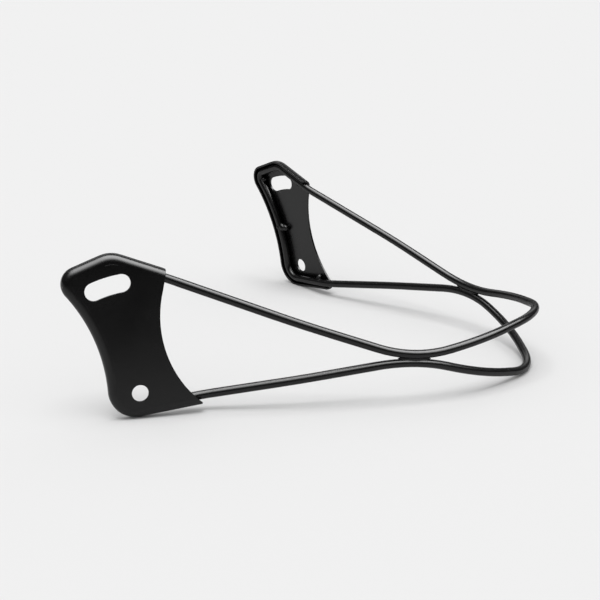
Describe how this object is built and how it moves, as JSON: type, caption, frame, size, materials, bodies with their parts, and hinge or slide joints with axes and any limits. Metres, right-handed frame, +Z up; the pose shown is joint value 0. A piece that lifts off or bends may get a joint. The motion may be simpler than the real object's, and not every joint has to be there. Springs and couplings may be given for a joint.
{
  "type": "rear rack",
  "caption": "Welded steel rear rack: flanged side plates with a pivot hole and an arc slot, joined by bent wires that touch at the sides and part into an upper and a lower rear loop.",
  "frame": {"origin": "middle of the footprint (bounding box bottom centre), on the floor the rack stands on", "axes": "+X to the rear (towards the loops), +Y to the right, +Z up, as the rack stands on a level floor; the rack is a mirror image of itself about y = 0"},
  "size_m": [0.2789, 0.3804, 0.1087],
  "materials": {
    "powder_coat": "satin black powder coat with a fine texture",
    "weld": "welds under the same satin black powder coat"
  },
  "bodies": {
    "root": {"left_plate": "powder_coat", "right_plate": "powder_coat", "upper_rod": "powder_coat", "lower_rod": "powder_coat", "left_cross_weld": "weld", "right_cross_weld": "weld", "left_butt_weld": "weld", "right_butt_weld": "weld", "left_tack_welds": "weld", "right_tack_welds": "weld"}
  },
  "joints": []
}
